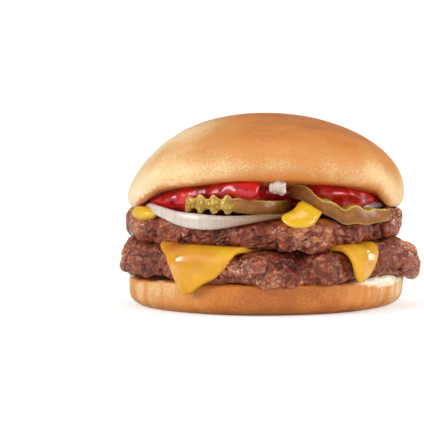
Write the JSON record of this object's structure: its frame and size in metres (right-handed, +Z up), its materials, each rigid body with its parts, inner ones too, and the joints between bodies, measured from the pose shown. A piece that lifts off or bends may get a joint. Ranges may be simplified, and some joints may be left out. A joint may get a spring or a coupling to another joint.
{
  "type": "cheeseburger",
  "caption": "Round double cheeseburger: domed bun, rough beef patties, melted cheese slice, crinkle-cut pickle, onion, ketchup and mustard, standing on its flat heel.",
  "frame": {"origin": "middle of the outline seen from above, on the surface the bun's foot stands on", "axes": "+Z up through the stack, -Y towards the side with the hanging cheese and the mustard, +X to the right of that side"},
  "size_m": [0.1148, 0.1134, 0.0726],
  "materials": {
    "bun": "satin",
    "beef": "satin",
    "cheese": "satin",
    "onion": "gloss",
    "pickle": "gloss",
    "mustard": "gloss",
    "ketchup": "gloss"
  },
  "bodies": {
    "root": {"bottom_bun": "bun", "lower_patty": "beef", "cheese_slice": "cheese", "upper_patty": "beef", "mustard_front": "mustard", "mustard_left": "mustard", "mustard_back": "mustard", "onion_ring_left": "onion", "onion_ring_right": "onion", "onion_bit": "onion", "pickle_left": "pickle", "pickle_right": "pickle", "ketchup": "ketchup", "top_bun": "bun"}
  },
  "joints": []
}
